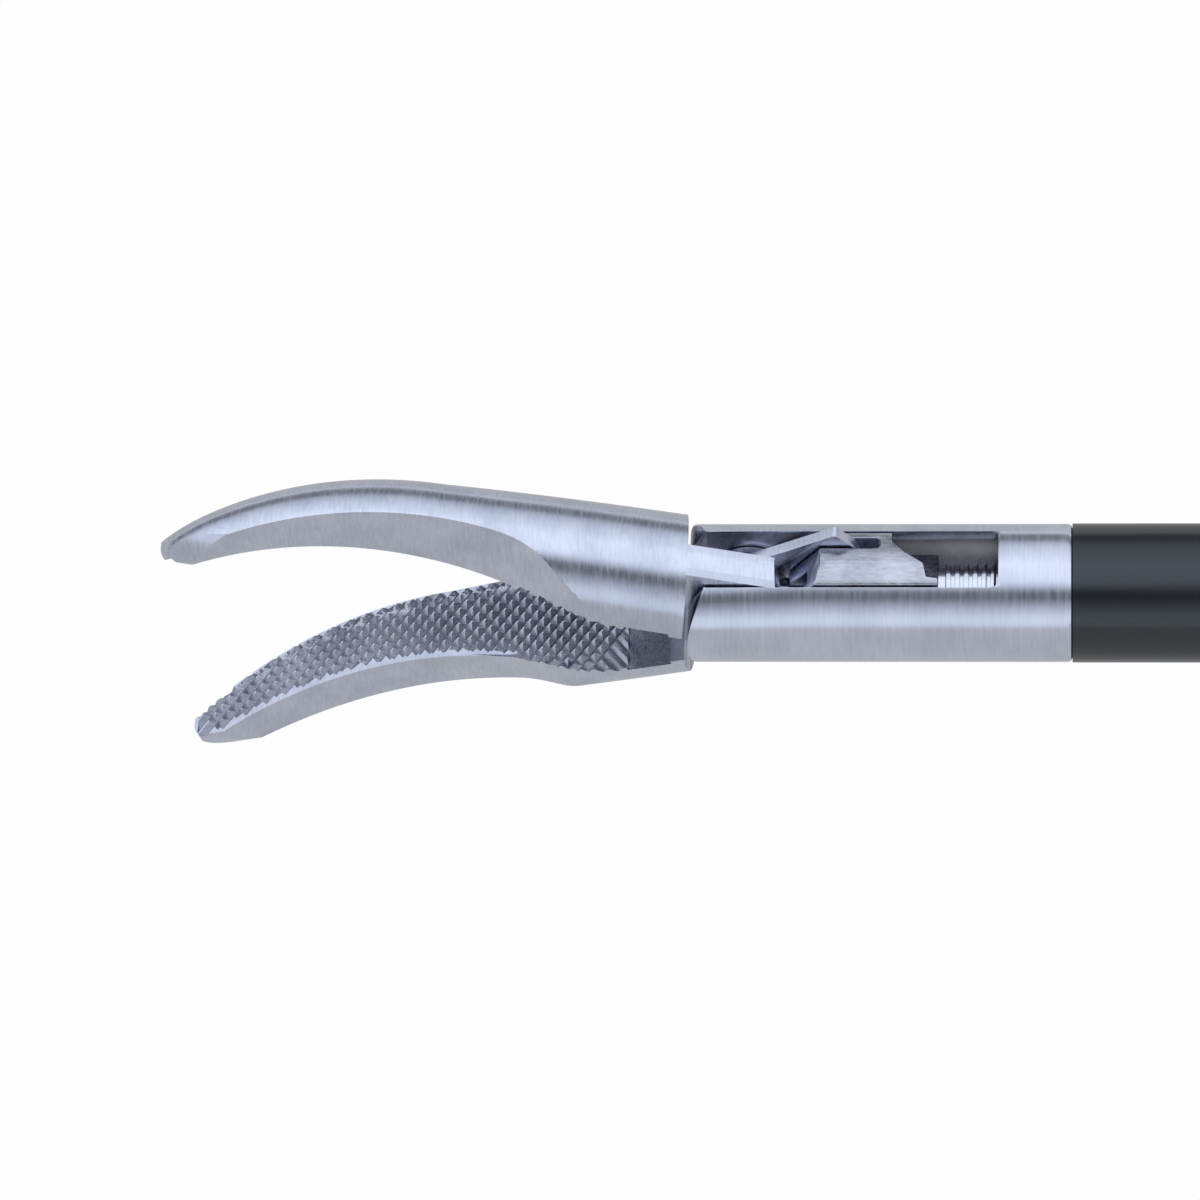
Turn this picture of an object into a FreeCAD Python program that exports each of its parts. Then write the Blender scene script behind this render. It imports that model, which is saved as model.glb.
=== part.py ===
import FreeCAD, Part
import math
import os

V = FreeCAD.Vector

# Laparoscopic grasper: two curved jaws on a 5 mm rotating shaft, worked by a ring handle.
# X runs along the shaft and the jaws point to -X. +Z is up, the handle hangs below the shaft.
# The origin is on the shaft's axis, at the front face of the rotation knob. Millimetres.

# Shaft and jaws
working_length = 330.0
shaft_radius = 2.5
jaw_length = 21.5
jaw_taper_length = 22.6
nose_radius = 0.75
nose_offset = 1.8
root_relief = 0.15
root_rim = 0.5
jaw_open_angle = 15.5
mating_gap = 0.04
jaw_root = 2.45
root_overlap = 0.15
blank_stations = 12
jaw_root_lean = 9.0
jaw_bend_start = 11.6
jaw_far_bend = 14.2
jaw_neck = 13.1
jaw_neck_offset = 0.61
scoop_radius = 14.6
scoop_lean_along = 0.27
scoop_lean_across = 0.153
scoop_rise = 2.7
scoop_length = 24.0
scoop_turn_in = 9.6
scoop_turn_out = 7.3
scoop_out = 9.0
scoop_side = 2.44
shoulder_radius = 3.7
shoulder_angle = 40.0
shoulder_run = 2.6
back_fullness = 0.42
envelope_clearance = 0.04

# Gripping teeth
tooth_pitch = 0.6
tooth_depth = 0.18
tooth_angle = 52.0
tooth_start = 4.6
tooth_flat = 0.12

# Clevis housing
housing_radius = 2.48
slot_width = 2.4
slot_reach = 8.95
slot_corner = 0.25
housing_reach = 11.6
junction_chamfer = 0.15
sleeve_taper_length = 0.45
sleeve_taper_depth = 0.12
arm_tip_reach = 2.2
arm_tip_radius = 3.9
bore_radius = 2.05
bore_front = 4.9
bore_back = 10.8
spigot_radius = 1.7
spigot_length = 6.0
pivot_pin_radius = 0.5

# Hubs and tails of the jaws
hub_radius = 1.25
hub_crown = 0.3
web_foot = 0.3
web_dip = 0.4
tail_thickness = 0.4
tail_offset = 0.55
tail_wall = 0.3
tail_rim = 0.15
tail_depth = 2.16
tail_chamfer = 0.5
side_clearance = 0.05
running_clearance = 0.03

# Drive block and pull rod
cam_pin_radius = 0.35
cam_open_reach = 2.2
rod_travel = 1.5
head_wall = 0.4
head_length = 5.35
head_clearance = 0.08
head_bevel_height = 0.9
head_bevel_reach = 1.15
head_tail_room = 4.75
head_roof = 0.55
tail_room_clearance = 0.06
head_corner = 0.2
slit_corner = 0.18
stair_clearance = 0.2
tenon_radius = 0.6
tenon_length = 1.5
rod_radius = 1.0
rod_clearance = 0.1
ball_radius = 2.0

# Shaft tube, sleeve and guides
tube_radius = 2.2
guide_count = 3
guide_length = 8.0

# Rotation knob and its collar
knob_length = 20.0
knob_radius = 11.0
knob_nose_radius = 5.5
knob_nose_length = 7.0
knob_lip = 1.0
knob_edge = 0.8
flute_count = 8
flute_radius = 3.2
flute_depth = 1.5
collar_radius = 5.0
collar_tail = 10.0
tube_seat = 20.0
seal_width = 1.8
seal_radius = 2.0
seal_inset = 2.0
seal_lip = 0.4
clip_width = 1.0
clip_depth = 1.0
clip_rim = 1.8
clip_gap = 0.2
clip_mouth = 3.2
grub_radius = 1.5
grub_length = 4.5
grub_inset = 12.0
grub_socket_radius = 0.75
grub_socket_depth = 1.5
detent_ball_radius = 1.2
detent_inset = 8.0
detent_bite = 0.5
dimple_count = 12
dimple_depth = 0.5
dimple_radius = 0.95
detent_wire = 0.2
detent_turns = 3.5
detent_floor = 1.2

# Handle shells
knob_gap = 0.6
front_wall = 6.4
shell_width = 9.5
shell_wall = 2.4
shell_edge = 5.0
grip_width = 5.0
grip_edge = 2.0
journal_clearance = 0.06
handle_height = 10.6
barrel_crown = 0.8
barrel_shoulder = 8.0
barrel_tail = 15.5
barrel_back_height = 1.0
barrel_heel = 3.0
barrel_heel_drop = 15.0
barrel_keel_drop = 18.0
barrel_chin_drop = 14.0
lever_pivot_x = 50.0
lever_pivot_drop = 5.0
lever_pin_radius = 1.5
pivot_boss_radius = 3.6
lever_room_clearance = 0.25
screw_radius = 1.1
screw_head_radius = 2.1
screw_head_depth = 1.6
screw_boss_radius = 3.0
screw_sink = 0.2
screw_socket_radius = 1.1
screw_socket_depth = 0.9
top_screw_behind = 8.5
top_screw_height = 4.2
neck_screw_behind = 5.0
neck_screw_drop = 17.5
pin_end_inset = 0.1

# Finger ring
finger_ring_top = 40.0
finger_ring_height = 58.0
finger_ring_width = 34.0
finger_ring_x = 37.0
finger_ring_wall = 6.0
neck_front = 27.0
neck_back = 42.5
neck_root_drop = 8.0
neck_corner = 3.0
ring_corner_ease = 0.6
ring_shoulder = 2.0

# Thumb lever
lever_thickness = 6.0
lever_hub_radius = 5.0
fork_wall = 2.2
fork_height = 3.2
thumb_ring_radius = 12.0
thumb_ring_wall = 5.5
thumb_ring_x = 94.0
thumb_ring_drop = 55.0
thumb_ring_width = 8.0
lever_edge = 1.5
lever_neck_play = 0.25
lever_mouth_depth = 25.0
lever_mouth_start = 11.0
lever_mouth_behind = 10.0

# Ratchet
rack_radius = 24.0
rack_height = 2.6
rack_thickness = 2.4
rack_start = -16.0
rack_end = 20.0
rack_teeth = 6
rack_tooth_depth = 0.8
rack_clearance = 0.3
pawl_x = 37.5
pawl_z = -33.0
pawl_pin_radius = 1.0
pawl_hub_radius = 2.4
pawl_thickness = 2.4
pawl_gap = 0.5
pawl_pin_wall = 1.5
rack_seat_start = -30.0
rack_first_tooth = 1.5
rack_tooth_rake = 0.2

# Electrode post
post_x = 40.5
post_seat_height = 1.0
post_foot = 1.0
post_radius = 2.0
post_length = 10.5
post_base_radius = 3.0
post_base_height = 1.4
post_collar_radius = 4.2
post_collar_height = 1.5
post_tip_chamfer = 0.6
contact_width = 1.6
contact_thickness = 0.3

pivot_x = jaw_length - working_length
envelope_radius = shaft_radius - envelope_clearance
cam_closed_reach = cam_open_reach + rod_travel
tail_reach = cam_closed_reach + cam_pin_radius + running_clearance + tail_wall
head_nose = cam_open_reach - cam_pin_radius - head_wall
handle_front = knob_length + knob_gap
pocket_front = handle_front + front_wall
lever_z = -lever_pivot_drop
lever_arm = lever_pivot_drop
lever_swing = math.degrees(rod_travel / lever_arm)
ball_x = lever_pivot_x - rod_travel / 2
pocket_width = shell_width - shell_wall
lever_room = lever_thickness / 2 + lever_room_clearance


def cylinder_x(radius, x0, x1, y=0.0, z=0.0):
    return Part.makeCylinder(radius, x1 - x0, V(x0, y, z), V(1, 0, 0))


def cylinder_y(radius, y0, y1, x=0.0, z=0.0):
    return Part.makeCylinder(radius, y1 - y0, V(x, y0, z), V(0, 1, 0))


def cylinder_z(radius, z0, z1, x=0.0, y=0.0):
    return Part.makeCylinder(radius, z1 - z0, V(x, y, z0), V(0, 0, 1))


def block(x0, x1, y0, y1, z0, z1):
    return Part.makeBox(x1 - x0, y1 - y0, z1 - z0, V(x0, y0, z0))


def rounded_face(corners):
    # A face in the XZ plane from corners (x, z, corner radius).
    edges = []
    ends = []
    count = len(corners)
    for i in range(count):
        here = V(corners[i][0], 0, corners[i][1])
        before = V(corners[i - 1][0], 0, corners[i - 1][1]) - here
        after = V(corners[(i + 1) % count][0], 0, corners[(i + 1) % count][1]) - here
        before.normalize()
        after.normalize()
        radius = corners[i][2]
        if radius == 0:
            ends.append((here, here, None))
            continue
        half = before.getAngle(after) / 2
        reach = radius / math.tan(half)
        inward = before + after
        inward.normalize()
        centre = here + inward * (radius / math.sin(half))
        ends.append((here + before * reach, here + after * reach, centre - inward * radius))
    for i in range(count):
        start, stop, middle = ends[i]
        if middle is not None:
            edges.append(Part.Arc(start, middle, stop).toShape())
        following = ends[(i + 1) % count][0]
        if (following - stop).Length > 1e-6:
            edges.append(Part.LineSegment(stop, following).toShape())
    return Part.Face(Part.Wire(edges))


def plate(corners, y0, y1):
    # A flat plate standing in the XZ plane, from y0 to y1.
    solid = rounded_face(corners).extrude(V(0, y1 - y0, 0))
    solid.translate(V(0, y0, 0))
    return solid


def fillet_at(solid, radius, wanted):
    # Rounds the edges that pass the test. The next function bevels them instead.
    edges = []
    for edge in solid.Edges:
        if wanted(edge):
            edges.append(edge)
    return solid.makeFillet(radius, edges)


def chamfer_at(solid, size, wanted):
    edges = []
    for edge in solid.Edges:
        if wanted(edge):
            edges.append(edge)
    return solid.makeChamfer(size, edges)


def lies_at_y(edge, y):
    box = edge.BoundBox
    return abs(box.YMin - y) < 1e-4 and abs(box.YMax - y) < 1e-4


def working_end(solid):
    # The working end is drawn about the jaw pivot, then moved to it.
    solid.translate(V(pivot_x, 0, 0))
    return solid


# Jaws

def back_radius(s):
    # The round back tapers slowly at first, then faster towards the nose.
    return envelope_radius * (1 - (s / jaw_taper_length) ** 2) ** back_fullness


def back_centre(s):
    # How far the round back's centre lies to the side (towards -Y).
    if s < jaw_bend_start:
        return 0.0
    along = s - jaw_bend_start
    sweep = jaw_far_bend - math.sqrt(jaw_far_bend ** 2 - along ** 2)
    return back_radius(s) - back_radius(jaw_bend_start) + sweep


def jaw_blank():
    rings = []
    for i in range(blank_stations):
        s = jaw_length * i / (blank_stations - 1)
        circle = Part.Circle(V(-s, -back_centre(s), 0), V(1, 0, 0), back_radius(s))
        rings.append(Part.Wire(circle.toShape()))
    return Part.makeLoft(rings, True, False)


def bearing(angle):
    # A level direction. The angle runs from +Y towards +X.
    return V(math.sin(angle), math.cos(angle), 0)


def swung(centre, radius, first, last):
    ends = [centre + bearing(turn) * radius for turn in (first, (first + last) / 2, last)]
    return Part.Arc(ends[0], ends[1], ends[2]).toShape(), ends[2]


def scoop_wire(rise):
    # One level of the grinding wheel. It follows a wide arc in from the tip, and leaves the jaw
    # to the near side: at its foot on a gentle S, at its top over a tight shoulder.
    centre = V(scoop_lean_along * rise - jaw_neck,
               scoop_lean_across * rise - jaw_neck_offset - scoop_radius, rise)
    first = math.asin((-scoop_length - centre.x) / scoop_radius)
    slant = math.asin((-scoop_turn_in - centre.x) / scoop_radius)
    wide, here = swung(centre, scoop_radius, first, slant)
    start = centre + bearing(first) * scoop_radius
    if rise == 0:
        late = math.asin((-scoop_turn_out - centre.x) / scoop_radius)
        turn, here = swung(centre, scoop_radius, slant, late)
        ease = (scoop_side + here.y) / (1 - math.cos(late))
        leave, there = swung(here + bearing(late) * ease, ease, late + math.pi, math.pi)
    else:
        steep = math.radians(shoulder_angle)
        turn, here = swung(here - bearing(slant) * shoulder_radius, shoulder_radius, slant, steep)
        there = here + V(math.cos(steep), -math.sin(steep), 0) * shoulder_run
        leave = Part.LineSegment(here, there).toShape()
    corners = [there, V(there.x, -scoop_out, rise), V(-scoop_length, -scoop_out, rise), start]
    edges = [wide, turn, leave]
    for i in range(3):
        edges.append(Part.LineSegment(corners[i], corners[i + 1]).toShape())
    return Part.Wire(edges)


def tooth_cutters():
    # Two crossing families of V grooves in the mating face.
    cutters = []
    reach = 2 * shaft_radius / math.sin(math.radians(tooth_angle))
    half = (tooth_pitch - tooth_flat) / 2
    step = tooth_pitch / math.sin(math.radians(tooth_angle))
    floor = mating_gap / 2
    count = int((jaw_length - tooth_start) / step)
    for lean in (-1, 1):
        for i in range(count + 1):
            apex = V(0, 0, floor + tooth_depth)
            left = V(0, -half, floor)
            right = V(0, half, floor)
            low_left = V(0, -half, -0.1)
            low_right = V(0, half, -0.1)
            wire = Part.makePolygon([low_left, left, apex, right, low_right, low_left])
            groove = Part.Face(wire).extrude(V(reach, 0, 0))
            groove.translate(V(-reach / 2, 0, 0))
            groove.rotate(V(0, 0, 0), V(0, 0, 1), lean * tooth_angle)
            groove.translate(V(-tooth_start - step / 2 - i * step, -jaw_neck_offset, 0))
            cutters.append(groove)
    return cutters


def jaw_body():
    floor = mating_gap / 2
    tall = 2 * shaft_radius
    body = jaw_blank()
    body = body.common(block(-jaw_length - 1, 0, -tall, tall, floor, tall))
    body = body.common(cylinder_x(envelope_radius, -jaw_length - 1, 1))
    body = body.cut(Part.makeLoft([scoop_wire(0), scoop_wire(scoop_rise)], True, True))
    rear = block(-jaw_root, tall, -tall, tall, -tall, 2 * tall)
    rear.rotate(V(-jaw_root, 0, 0), V(0, 1, 0), -jaw_root_lean)
    body = body.cut(rear)
    nose_centre = jaw_length - nose_radius
    nose = cylinder_z(nose_radius, -1, tall, -nose_centre, -nose_offset)
    nose = nose.fuse(block(-nose_centre, 0, -tall, tall, -1, tall))
    body = body.common(nose)
    body = body.cut(block(-tooth_start, -jaw_root - root_rim, -tall, tall, 0, floor + root_relief))
    keep_smooth = block(-tooth_start, 0, -tall, tall, -tall, tall)
    teeth = Part.makeCompound(tooth_cutters()).cut(keep_smooth)
    return body.cut(teeth)


def jaw_hub(side):
    # The wide hub on one side of the middle plane, and the web that carries the jaw.
    inner = mating_gap / 2
    outer = slot_width / 2 - side_clearance
    y0, y1 = sorted((side * inner, side * outer))
    hub = cylinder_y(hub_radius, y0, y1)
    tangent = hub_radius * 0.9
    root = -jaw_root - root_overlap
    lean = math.tan(math.radians(jaw_root_lean)) * shaft_radius
    web = plate([(root, web_foot, 0), (root - lean, shaft_radius, 0), (hub_crown, shaft_radius, 0),
                 (tangent, hub_radius - tangent + web_dip, 0), (-hub_radius / 2, -tangent, 0),
                 (-jaw_root + root_overlap, mating_gap, 0)], y0, y1)
    return hub.fuse(web)


def jaw_tail(side):
    # The thin tail behind the pivot, which hangs on the far side of the axis.
    middle = side * tail_offset
    y0 = middle - tail_thickness / 2
    y1 = middle + tail_thickness / 2
    tail = plate([(0, hub_radius, 0), (cam_open_reach + 0.2, hub_radius, 0.3),
                  (tail_reach, cam_pin_radius + tail_rim, tail_rim), (tail_reach, -tail_depth / 2, 0),
                  (tail_reach - tail_chamfer, -tail_depth, 0.15),
                  (-hub_radius * 0.2, -hub_radius * 0.96, 0)], y0, y1)
    return tail.cut(cam_slot(y0, y1))


def cam_slot(y0, y1):
    # The slot follows a spiral, so that the jaw turns evenly with the rod.
    open_angle = math.radians(jaw_open_angle)
    half = cam_pin_radius + running_clearance
    slope = rod_travel / open_angle
    outer = []
    inner = []
    steps = 6
    for i in range(steps + 1):
        angle = open_angle * i / steps
        reach = cam_closed_reach - slope * angle
        point = V(reach * math.cos(angle), 0, reach * math.sin(angle))
        along = V(-slope * math.cos(angle) - reach * math.sin(angle), 0,
                  -slope * math.sin(angle) + reach * math.cos(angle))
        along.normalize()
        across = V(-along.z, 0, along.x)
        outer.append(point + across * half)
        inner.append(point - across * half)
        if i == 0:
            closed_end = point - along * half
        if i == steps:
            open_end = point + along * half
    top = Part.BSplineCurve()
    top.interpolate(outer)
    low = Part.BSplineCurve()
    low.interpolate(inner)
    cap_open = Part.Arc(outer[-1], open_end, inner[-1]).toShape()
    cap_closed = Part.Arc(inner[0], closed_end, outer[0]).toShape()
    wire = Part.Wire([top.toShape(), cap_open, low.toShape(), cap_closed])
    slot = Part.Face(wire).extrude(V(0, y1 - y0 + 0.2, 0))
    slot.translate(V(0, y0 - 0.1, 0))
    return slot


def jaw(closed_body, upper):
    side = -1 if upper else 1
    body = closed_body.copy()
    fittings = jaw_hub(-1).fuse(jaw_tail(-1))
    if not upper:
        body = body.mirror(V(0, 0, 0), V(0, 0, 1))
        fittings = fittings.mirror(V(0, 0, 0), V(0, 0, 1)).mirror(V(0, 0, 0), V(0, 1, 0))
    solid = body.fuse(fittings)
    solid = solid.common(cylinder_x(envelope_radius, -jaw_length - 1, 2 * tail_reach))
    bore = cylinder_y(pivot_pin_radius + running_clearance, -shaft_radius, shaft_radius)
    solid = solid.cut(bore).removeSplitter()
    solid.rotate(V(0, 0, 0), V(0, 1, 0), -side * jaw_open_angle)
    return working_end(solid)


# Clevis housing and its pin

def jaw_housing():
    tall = 2 * shaft_radius
    tip_centre = arm_tip_radius - arm_tip_reach
    body = cylinder_x(housing_radius, -tall, housing_reach)
    arms = cylinder_y(arm_tip_radius, -tall, tall, tip_centre)
    arms = arms.fuse(block(tip_centre, housing_reach + 1, -tall, tall, -tall, tall))
    body = body.common(arms)
    slot = block(-tall, slot_reach, -slot_width / 2, slot_width / 2, -tall, tall)
    slot = fillet_at(slot, slot_corner, lambda e: e.BoundBox.XMin > slot_reach - 0.01
                     and e.BoundBox.ZLength > tall)
    body = body.cut(slot)
    body = chamfer_at(body, junction_chamfer, lambda e: e.BoundBox.XMin > housing_reach - 0.01)
    body = body.fuse(cylinder_x(spigot_radius, housing_reach, housing_reach + spigot_length))
    body = body.cut(cylinder_x(bore_radius, bore_front, bore_back))
    body = body.cut(cylinder_x(rod_radius + rod_clearance, bore_front, housing_reach + spigot_length + 1))
    body = body.cut(cylinder_y(pivot_pin_radius, -tall, tall))
    return working_end(body.removeSplitter())


def jaw_pivot_pin():
    # Ground flush with the housing, so its ends follow the round surface.
    pin = cylinder_y(pivot_pin_radius, -2 * shaft_radius, 2 * shaft_radius)
    flush = cylinder_x(housing_radius, -hub_radius, hub_radius)
    return working_end(pin.common(flush))


# Drive block, cam pin and pull rod

def rod_head():
    half = slot_width / 2 - head_clearance
    top = envelope_radius
    back = head_nose + head_length
    outline = plate([(head_nose, -head_bevel_height, head_corner), (head_nose, head_bevel_height, head_corner),
                     (head_nose + head_bevel_reach, top, head_corner), (back, top, 0),
                     (back, -top, 0), (head_nose + head_bevel_reach, -top, head_corner)], -half, half)
    head = outline.common(cylinder_x(top, 0, back + 1))
    room = tail_thickness / 2 + tail_room_clearance
    end = head_tail_room
    for side, low, high in ((1, -hub_radius - head_roof, 2 * top), (-1, -2 * top, hub_radius + head_roof)):
        slit = block(0, end, side * tail_offset - room, side * tail_offset + room, low, high)
        slit = fillet_at(slit, slit_corner, lambda e: e.BoundBox.XMin > end - 0.01
                         and e.BoundBox.ZLength > 1)
        head = head.cut(slit)
    step = back - end
    stair = Part.makePolygon([V(back - step * 0.8, 2 * half, 0), V(back - step * 0.8, half * 0.55, 0),
                              V(back - step * 0.57, half * 0.1, 0), V(back - step * 0.25, -half * 0.3, 0),
                              V(back - step * 0.2, -half * 0.75, 0), V(back, -half * 0.8, 0),
                              V(back + 1, -half * 0.8, 0), V(back + 1, 2 * half, 0),
                              V(back - step * 0.8, 2 * half, 0)])
    for level in (tenon_radius + stair_clearance, -top - tenon_radius - stair_clearance):
        cut = Part.Face(stair).extrude(V(0, 0, top))
        cut.translate(V(0, 0, level))
        head = head.cut(cut)
    head = head.cut(cylinder_x(tenon_radius, back - tenon_length, back + 1))
    head = head.cut(cylinder_y(cam_pin_radius, -2 * half, 2 * half, cam_open_reach))
    return working_end(head.removeSplitter())


def cam_pin():
    half = slot_width / 2 - head_clearance
    return working_end(cylinder_y(cam_pin_radius, -half, half, cam_open_reach))


def pull_rod():
    back = pivot_x + head_nose + head_length
    rod = cylinder_x(rod_radius, back, ball_x)
    rod = rod.fuse(cylinder_x(tenon_radius, back - tenon_length, back))
    rod = rod.fuse(Part.makeSphere(ball_radius, V(ball_x, 0, 0)))
    return rod.removeSplitter()


# Shaft tube, its sleeve and the guides inside

def shaft_tube():
    start = pivot_x + housing_reach
    tube = cylinder_x(tube_radius, start, tube_seat)
    return tube.cut(cylinder_x(spigot_radius, start - 1, tube_seat + 1))


def insulation_sleeve():
    start = pivot_x + housing_reach
    nose = Part.makeCone(shaft_radius - sleeve_taper_depth, shaft_radius, sleeve_taper_length,
                         V(start, 0, 0), V(1, 0, 0))
    straight = cylinder_x(shaft_radius, start + sleeve_taper_length, 0)
    sleeve = nose.fuse(straight)
    return sleeve.cut(cylinder_x(tube_radius, start - 1, 1))


def rod_guides():
    guides = []
    start = pivot_x + housing_reach + spigot_length
    span = tube_seat - guide_length - start
    for i in range(guide_count):
        x = start + span * (i + 1) / (guide_count + 1)
        guide = cylinder_x(spigot_radius, x, x + guide_length)
        guides.append(guide.cut(cylinder_x(rod_radius + rod_clearance, x - 1, x + guide_length + 1)))
    return Part.makeCompound(guides)


# Collar, knob and what holds them in the handle

def clip_start():
    return pocket_front + clip_gap


def tube_collar():
    end = knob_length + collar_tail
    collar = cylinder_x(collar_radius, knob_lip, end)
    collar = collar.cut(cylinder_x(tube_radius, knob_lip - 1, tube_seat))
    collar = collar.cut(cylinder_x(rod_radius + rod_clearance, tube_seat - 1, end + 1))
    seal_start = tube_seat + seal_inset
    collar = collar.cut(cylinder_x(seal_radius, seal_start, seal_start + seal_width))
    groove = cylinder_x(collar_radius + 1, clip_start(), clip_start() + clip_width)
    groove = groove.cut(cylinder_x(collar_radius - clip_depth, clip_start() - 1, clip_start() + clip_width + 1))
    return collar.cut(groove)


def rod_seal():
    # A square ring with a waist, so that only its two lips run on the rod.
    start = tube_seat + seal_inset
    inner = rod_radius + running_clearance
    ring = cylinder_x(seal_radius, start, start + seal_width)
    ring = ring.cut(cylinder_x(inner, start - 1, start + seal_width + 1))
    waist = cylinder_x(inner + seal_lip, start + seal_lip, start + seal_width - seal_lip)
    return ring.cut(waist)


def retaining_clip():
    start = clip_start()
    outer = collar_radius + clip_rim
    inner = collar_radius - clip_depth
    ring = cylinder_x(outer, start, start + clip_width)
    ring = ring.cut(cylinder_x(inner, start - 1, start + clip_width + 1))
    mouth = block(start - 1, start + clip_width + 1, -clip_mouth, clip_mouth, -outer - 1, 0)
    return ring.cut(mouth)


def rotation_knob():
    edge = knob_edge
    profile = rounded_face([(0, knob_nose_radius - edge, 0), (edge, knob_nose_radius, 0),
                            (knob_nose_length - edge, knob_radius - edge, 0), (knob_nose_length + edge, knob_radius, 0),
                            (knob_length - edge, knob_radius, 0), (knob_length, knob_radius - edge, 0),
                            (knob_length, 0, 0), (0, 0, 0)])
    knob = profile.revolve(V(0, 0, 0), V(1, 0, 0), 360)
    reach = knob_radius + flute_radius - flute_depth
    for i in range(flute_count):
        turn = math.radians(360.0 * (i + 0.5) / flute_count)
        knob = knob.cut(cylinder_x(flute_radius, -1, knob_length + 1,
                                   reach * math.cos(turn), reach * math.sin(turn)))
    knob = knob.cut(cylinder_x(tube_radius, -1, knob_lip))
    knob = knob.cut(cylinder_x(collar_radius, knob_lip, knob_length + 1))
    knob = knob.cut(cylinder_z(grub_radius, 0, knob_radius + 1, grub_inset))
    deep = knob_length - dimple_depth
    for i in range(dimple_count):
        turn = math.radians(360.0 * i / dimple_count)
        knob = knob.cut(cylinder_x(dimple_radius, deep, knob_length + 1,
                                   detent_inset * math.sin(turn), -detent_inset * math.cos(turn)))
    return knob


def grub_screw():
    base = collar_radius
    screw = cylinder_z(grub_radius, base, base + grub_length, grub_inset)
    hexagon = []
    for i in range(7):
        turn = math.radians(60.0 * i)
        hexagon.append(V(grub_inset + grub_socket_radius * math.cos(turn), grub_socket_radius * math.sin(turn),
                         base + grub_length - grub_socket_depth))
    socket = Part.Face(Part.makePolygon(hexagon)).extrude(V(0, 0, 2 * grub_socket_depth))
    return screw.cut(socket)


def detent_ball():
    return Part.makeSphere(detent_ball_radius, V(handle_front + detent_bite, 0, -detent_inset))


def detent_hole_end():
    return pocket_front - detent_floor


def detent_spring():
    start = handle_front + detent_bite + detent_ball_radius + detent_wire
    length = detent_hole_end() - detent_wire - start
    mean = detent_ball_radius - detent_wire - side_clearance
    helix = Part.makeHelix(length / detent_turns, length, mean)
    w = detent_wire
    section = Part.makePolygon([V(mean - w, 0, -w), V(mean + w, 0, -w), V(mean + w, 0, w),
                                V(mean - w, 0, w), V(mean - w, 0, -w)])
    coil = Part.Wire(helix).makePipeShell([section], True, True)
    coil.rotate(V(0, 0, 0), V(0, 1, 0), 90)
    coil.translate(V(start, 0, -detent_inset))
    return coil


# Handle shells

def barrel_outline(inset):
    # The upper body, seen from the side. The inset gives the pocket inside it.
    front = pocket_front if inset else handle_front
    top = handle_height - inset
    back = lever_pivot_x + barrel_tail - inset
    return [(front, top, 1.2), (back - barrel_shoulder, top + barrel_crown, 9.0 - inset),
            (back, barrel_back_height, 7.0 - inset),
            (back - barrel_heel, inset - barrel_heel_drop, 4.5 - inset / 2),
            (neck_back + 3, inset - barrel_keel_drop, 4.0),
            (neck_front + 2, inset - barrel_chin_drop, 7.0 - inset), (front, -top, 1.2)]


def finger_ring_outline(inset):
    half = finger_ring_width / 2 - inset
    top = -finger_ring_top - inset
    bottom = -finger_ring_top - finger_ring_height + inset
    corner = half - ring_corner_ease
    return [(finger_ring_x - half, top, corner), (finger_ring_x + half, top, corner),
            (finger_ring_x + half, bottom, corner), (finger_ring_x - half, bottom, corner)]


def grip_outline():
    # The neck below the barrel and the outside of the finger ring, as one line.
    half = finger_ring_width / 2
    bottom = -finger_ring_top - finger_ring_height
    corner = half - ring_corner_ease
    return [(neck_front + 1, -neck_root_drop, 0), (neck_back, -neck_root_drop, 0),
            (neck_back, -finger_ring_top + 6, neck_corner),
            (finger_ring_x + half, -finger_ring_top - ring_shoulder, 8.0), (finger_ring_x + half, bottom, corner),
            (finger_ring_x - half, bottom, corner), (finger_ring_x - half, -finger_ring_top - ring_shoulder, 12.0),
            (neck_front + 1, -finger_ring_top + 12, 9.0)]


def polar(radius, degrees):
    # A point about the lever pivot. The angle runs from straight down towards -X.
    turn = math.radians(degrees)
    return lever_pivot_x - radius * math.sin(turn), lever_z - radius * math.cos(turn)


def arc_band(inner, outer, first, last, y0, y1):
    # A curved bar about the lever pivot.
    corners = []
    for radius, degrees in ((inner, first), (inner, (first + last) / 2), (inner, last),
                            (outer, last), (outer, (first + last) / 2), (outer, first)):
        x, z = polar(radius, degrees)
        corners.append(V(x, y0, z))
    edges = [Part.Arc(corners[0], corners[1], corners[2]).toShape(),
             Part.LineSegment(corners[2], corners[3]).toShape(),
             Part.Arc(corners[3], corners[4], corners[5]).toShape(),
             Part.LineSegment(corners[5], corners[0]).toShape()]
    return Part.Face(Part.Wire(edges)).extrude(V(0, y1 - y0, 0))


def screw_places():
    ring_bottom = -finger_ring_top - finger_ring_height + finger_ring_wall / 2
    return [(lever_pivot_x + top_screw_behind, top_screw_height, shell_width),
            (neck_front + neck_screw_behind, -neck_screw_drop, shell_width),
            (finger_ring_x, ring_bottom, grip_width)]


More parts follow.
